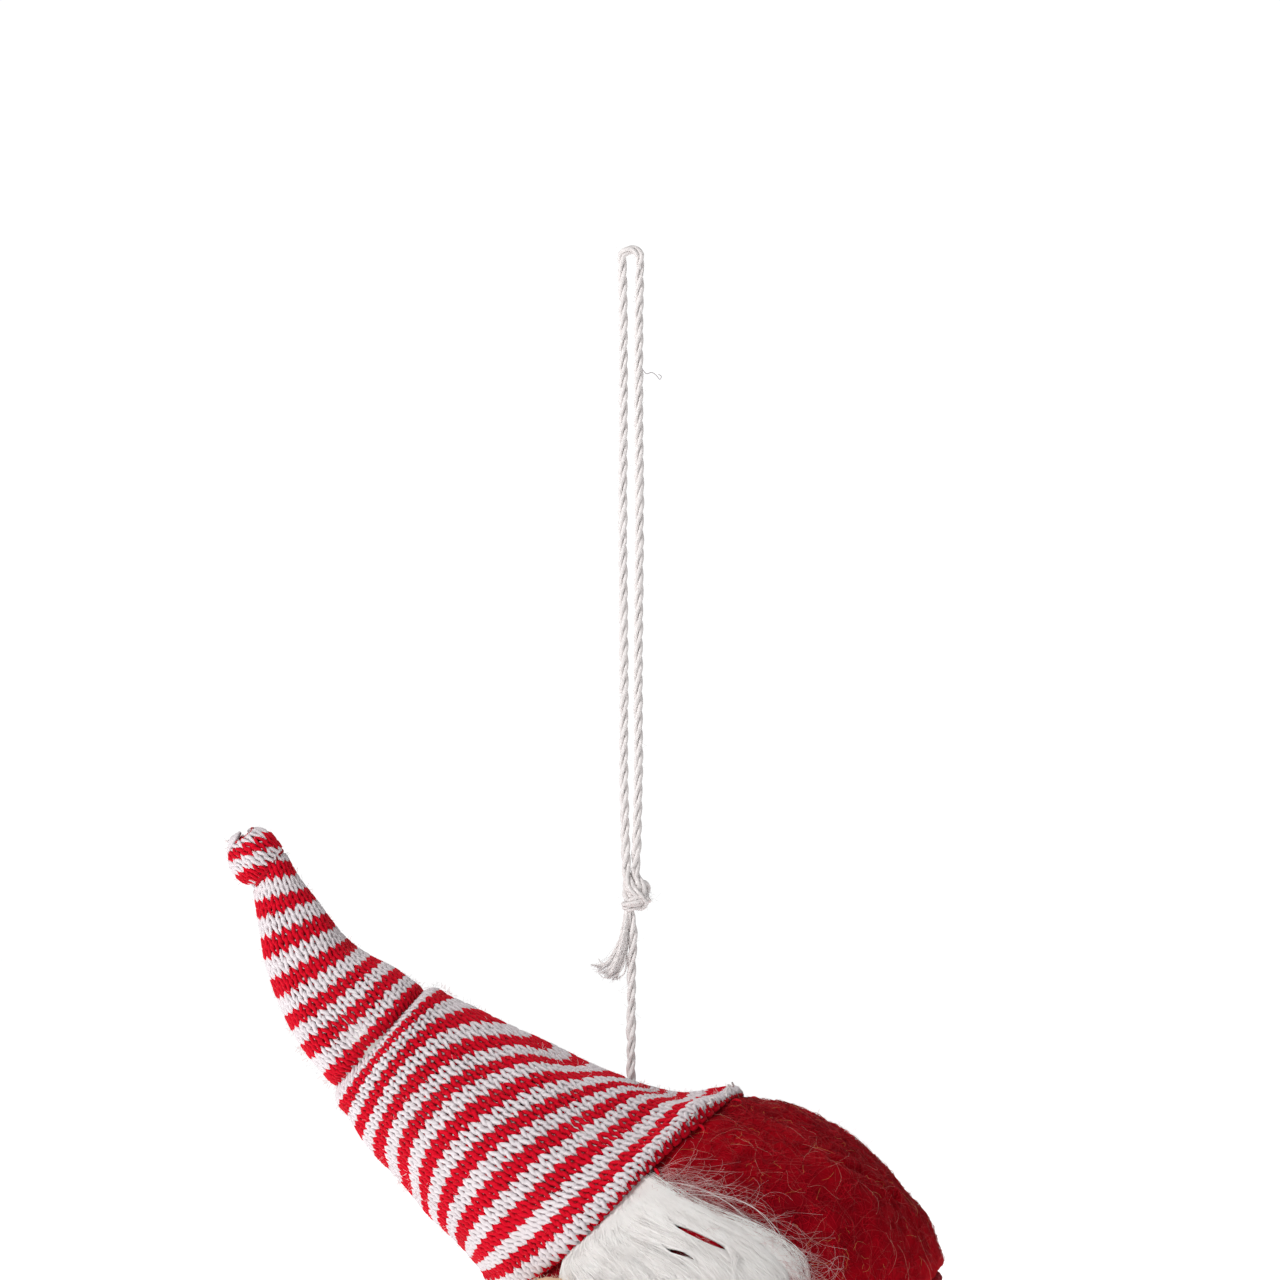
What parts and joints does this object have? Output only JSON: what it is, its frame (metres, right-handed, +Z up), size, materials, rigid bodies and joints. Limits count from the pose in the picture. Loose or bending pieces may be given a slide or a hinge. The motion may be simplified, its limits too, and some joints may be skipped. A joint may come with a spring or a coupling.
{
  "type": "tomte gnome figurine",
  "caption": "Felted wool gnome with a long striped knitted hat, white beard and round nose, hung from a looped cotton cord.",
  "frame": {"origin": "the point inside the top of the cord loop where it rests on a hook", "axes": "+Z up along the hanging cord, +X away from the side that the hat leans to, so that the gnome leans in the XZ plane"},
  "size_m": [0.1127, 0.0758, 0.1994],
  "materials": {
    "cotton_cord": "matte",
    "knit_red": "matte",
    "knit_white": "matte",
    "batting": "matte",
    "red_felt": "matte",
    "base_felt": "matte",
    "red_thread": "matte",
    "foam_core": "matte",
    "skin_felt": "matte",
    "beard_wool": "matte"
  },
  "bodies": {
    "hanging_cord": {"hanging_loop": "cotton_cord", "cord_knot": "cotton_cord", "cord_tail": "cotton_cord"},
    "cord_end": {"cord_lead": "cotton_cord"},
    "gnome": {"anchor_knot": "cotton_cord", "hat_knit": "knit_red", "hat_brim": "knit_red", "hat_stuffing": "batting", "body_felt": "red_felt", "core_ball": "foam_core", "base_disc": "base_felt", "brim_stitches": "red_thread", "nose": "skin_felt", "beard_left": "beard_wool", "beard_right": "beard_wool", "beard_chin": "beard_wool"},
    "hat_tip": {"tip_knit": "knit_red", "tip_stuffing": "batting", "tip_gather": "knit_white"}
  },
  "joints": [
    {"name": "cord_twist", "type": "hinge", "parent": "hanging_cord", "child": "cord_end", "pos_m": [0, 0, -0.1039], "axis": [0, 0, 1], "continuous": true},
    {"name": "gnome_tilt", "type": "hinge", "parent": "cord_end", "child": "gnome", "pos_m": [0, 0, -0.1275], "axis": [0, 1, 0], "range_deg": [-35, 35]},
    {"name": "hat_tip_flop", "type": "hinge", "parent": "gnome", "child": "hat_tip", "pos_m": [-0.0373, 0, -0.12491], "axis": [0, 1, 0], "range_deg": [-20, 20]}
  ]
}
